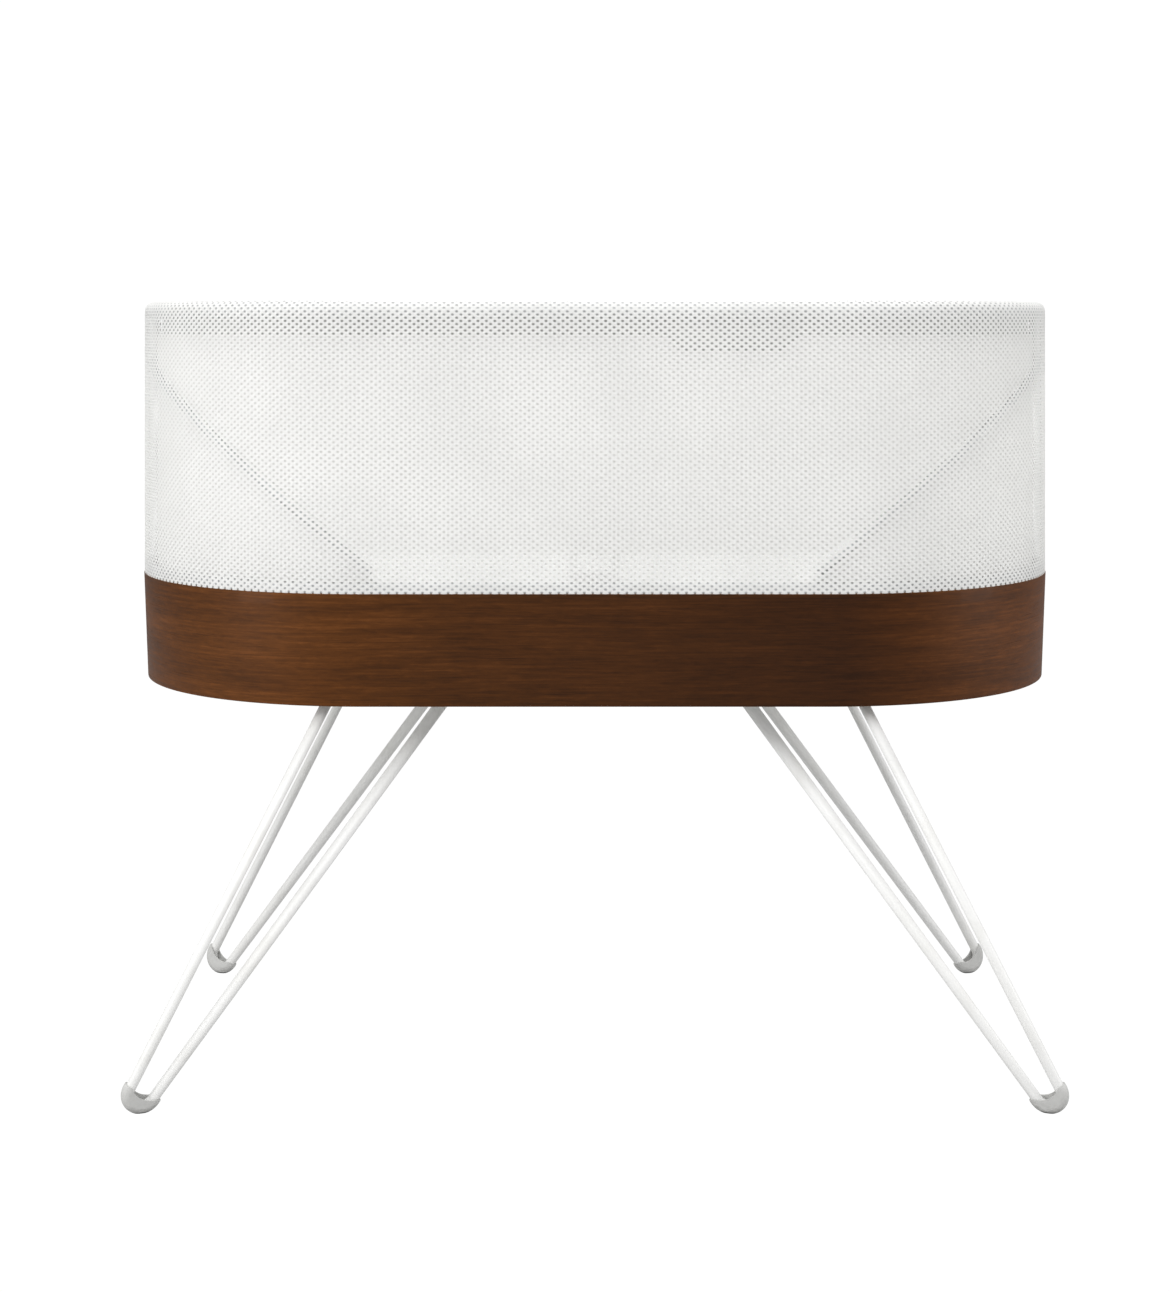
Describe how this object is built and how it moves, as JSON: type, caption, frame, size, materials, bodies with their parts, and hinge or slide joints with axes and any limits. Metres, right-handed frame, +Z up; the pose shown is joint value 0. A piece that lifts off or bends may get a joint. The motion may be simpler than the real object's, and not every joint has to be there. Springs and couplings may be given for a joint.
{
  "type": "baby crib",
  "caption": "Oval baby crib: a walnut veneered base on hairpin legs, a stretched mesh wall over a rim tube, and a mattress platform that swings about a vertical pivot.",
  "frame": {"origin": "on the floor, straight under the middle of the oval base, where the platform's pivot axis meets the floor", "axes": "+X along the length of the oval, +Y across its depth towards the side that carries the control button, +Z up"},
  "size_m": [0.914, 0.4863, 0.751],
  "materials": {
    "walnut_veneer": "satin lacquered walnut veneer, grain along the band",
    "white_board": "white laminated board",
    "zinc_steel": "zinc plated",
    "white_powder_coat": "white satin powder coat",
    "grey_foot": "grey soft-touch plastic",
    "sole_rubber": "dark grey rubber",
    "rim_aluminium": "satin anodised",
    "white_plastic": "white moulded plastic",
    "air_mesh": "white open knit mesh",
    "lining_cloth": "white tightly woven lining",
    "cast_aluminium": "machined casting",
    "bearing_steel": "ground and polished",
    "black_plastic": "black moulded plastic",
    "bronze": "oiled sintered bronze",
    "mattress_cover": "quilted foam cover",
    "sheet_cotton": "white cotton",
    "motor_black": "black cast can",
    "belt_rubber": "ribbed belt rubber",
    "circuit_board": "green solder mask",
    "speaker_paper": "black pressed pulp cone",
    "satin_trim": "satin ring",
    "light_diffuser": "translucent diffuser",
    "button_white": "white cap"
  },
  "bodies": {
    "base": {"wood_band": "walnut_veneer", "base_board": "white_board", "band_brackets": "zinc_steel", "bracket_screws": "zinc_steel", "leg_front_left": "white_powder_coat", "leg_front_right": "white_powder_coat", "leg_rear_left": "white_powder_coat", "leg_rear_right": "white_powder_coat", "foot_front_left": "grey_foot", "foot_front_right": "grey_foot", "foot_rear_left": "grey_foot", "foot_rear_right": "grey_foot", "foot_soles": "sole_rubber", "leg_plates": "white_powder_coat", "leg_screws": "zinc_steel", "wall_rail": "rim_aluminium", "rim_tube": "rim_aluminium", "hoop_left": "rim_aluminium", "hoop_right": "rim_aluminium", "hoop_sockets": "white_plastic", "rim_posts": "white_powder_coat", "mesh_wall": "air_mesh", "inner_liner": "lining_cloth", "bearing_pedestal": "cast_aluminium", "pedestal_screws": "zinc_steel", "lower_race": "zinc_steel", "bearing_balls": "bearing_steel", "ball_cage": "black_plastic", "pivot_pin": "bearing_steel", "pivot_washer": "zinc_steel", "pivot_clip": "black_plastic", "drive_motor": "motor_black", "motor_screws": "zinc_steel", "drive_belt": "belt_rubber", "idler_bracket": "zinc_steel", "idler_bolt": "bearing_steel", "control_board": "circuit_board", "board_parts": "black_plastic", "board_standoffs": "zinc_steel", "motor_lead": "black_plastic", "speaker_frames": "black_plastic", "speaker_cones": "speaker_paper", "power_inlet": "black_plastic", "button_bezel": "satin_trim", "light_ring": "light_diffuser", "button_switch": "circuit_board"},
    "platform": {"upper_race": "zinc_steel", "drive_wheel": "cast_aluminium", "wheel_bush": "bronze", "platform_deck": "white_plastic", "deck_screws": "zinc_steel", "hub_cover": "white_plastic", "mattress": "mattress_cover", "fitted_sheet": "sheet_cotton", "sack_clip_front": "white_plastic", "sack_clip_rear": "white_plastic"},
    "motor_rotor": {"motor_shaft": "bearing_steel", "motor_pulley": "cast_aluminium"},
    "idler": {"idler_roller": "white_plastic"},
    "button": {"control_button": "button_white"}
  },
  "joints": [
    {"name": "platform_swing", "type": "hinge", "parent": "base", "child": "platform", "pos_m": [0, 0, 0.451], "axis": [0, 0, 1], "range_deg": [-3, 3]},
    {"name": "motor_spin", "type": "hinge", "parent": "base", "child": "motor_rotor", "pos_m": [-0.218, 0, 0.451], "axis": [0, 0, 1], "range_deg": [-38, 38]},
    {"name": "idler_spin", "type": "hinge", "parent": "base", "child": "idler", "pos_m": [-0.15992, 0.06367, 0.451], "axis": [0, 0, 1], "range_deg": [-35, 35]},
    {"name": "button_press", "type": "slide", "parent": "base", "child": "button", "axis": [0, -1, 0], "range_m": [0, 0.0015], "stiffness_N_per_m": 900, "springref_m": -0.0008}
  ],
  "couplings": [
    {"joint": "motor_spin", "follows": "platform_swing", "ratio": 12.6},
    {"joint": "idler_spin", "follows": "platform_swing", "ratio": -11.455}
  ]
}
